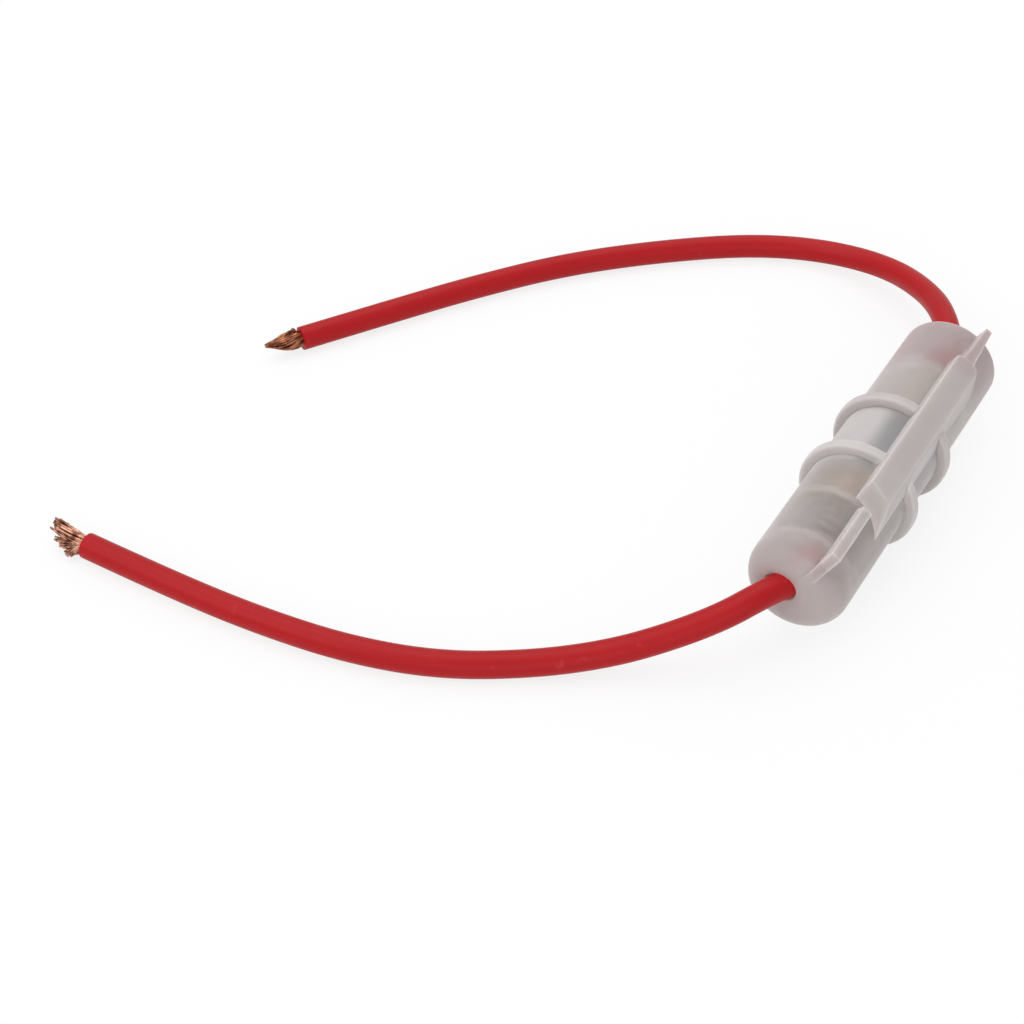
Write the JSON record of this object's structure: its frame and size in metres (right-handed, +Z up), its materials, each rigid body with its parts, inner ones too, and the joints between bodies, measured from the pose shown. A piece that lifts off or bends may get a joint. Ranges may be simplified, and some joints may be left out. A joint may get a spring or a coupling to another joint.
{
  "type": "inline fuse holder",
  "caption": "Translucent two-part inline holder for a 5 x 20 mm glass fuse, with a sprung contact, a keyed push joint and two short red leads ending in bare copper strands",
  "frame": {"origin": "under the middle of the holder without its leads, on the surface that its two collars and both leads lie on", "axes": "+X along the holder from the near lead's end to the far lead's end, +Y to the side that both leads curve to, +Z up"},
  "size_m": [0.0863, 0.0748, 0.0127],
  "materials": {
    "shell": "milky translucent moulded plastic",
    "spring": "drawn spring steel wire",
    "brass": "dull drawn brass",
    "glass": "clear glass tube",
    "fuse_cap": "nickel plated pressed cap",
    "solder": "tin solder and tinned fuse wire",
    "copper": "bare copper strands",
    "insulation": "satin red PVC insulation"
  },
  "bodies": {
    "near_half": {"near_shell": "shell", "contact_spring": "spring", "near_lead": "insulation", "near_strands": "copper"},
    "sprung_contact": {"near_contact": "brass", "near_conductor": "copper", "fuse_glass": "glass", "fuse_cap_near": "fuse_cap", "fuse_cap_far": "fuse_cap", "fuse_solder_near": "solder", "fuse_solder_far": "solder", "fuse_element": "solder"},
    "far_half": {"far_shell": "shell", "far_contact": "brass", "far_conductor": "copper", "far_lead": "insulation", "far_strands": "copper"}
  },
  "joints": [
    {"name": "pull_apart", "type": "slide", "parent": "near_half", "child": "far_half", "axis": [1, 0, 0], "range_m": [0, 0.024]},
    {"name": "contact_travel", "type": "slide", "parent": "near_half", "child": "sprung_contact", "axis": [1, 0, 0], "range_m": [0, 0.0012]}
  ],
  "couplings": [
    {"joint": "contact_travel", "follows": "pull_apart", "ratio": 0.05}
  ]
}
